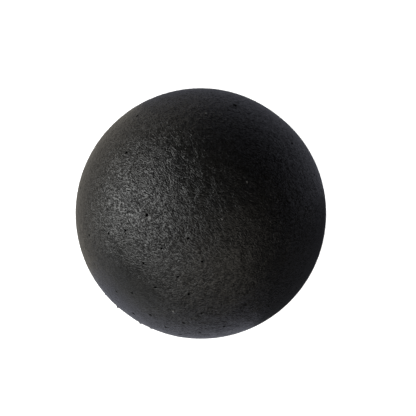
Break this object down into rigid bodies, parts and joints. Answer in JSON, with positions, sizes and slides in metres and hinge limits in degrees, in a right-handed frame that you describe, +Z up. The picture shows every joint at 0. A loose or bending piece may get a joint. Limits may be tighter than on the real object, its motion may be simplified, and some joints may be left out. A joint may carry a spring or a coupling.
{
  "type": "case opening friction ball",
  "caption": "Solid black self-skinned foam ball, pressed by hand on a screwed watch case back to grip it by friction and unscrew it; one small trimmed flat marks the pour gate.",
  "frame": {"origin": "centre of the ball", "axes": "+X along the mould axis, out of the trimmed pour gate; +Z up as the ball lies on a bench, so the gate faces sideways"},
  "size_m": [0.0675, 0.068, 0.068],
  "materials": {
    "moulded_skin": "satin black moulded polyurethane skin with fine wrinkles, pinholes and a few raised pimples",
    "open_foam": "dull black cut foam with fine open cells"
  },
  "bodies": {
    "root": {"outer_skin": "moulded_skin", "foam_core": "open_foam"}
  },
  "joints": []
}
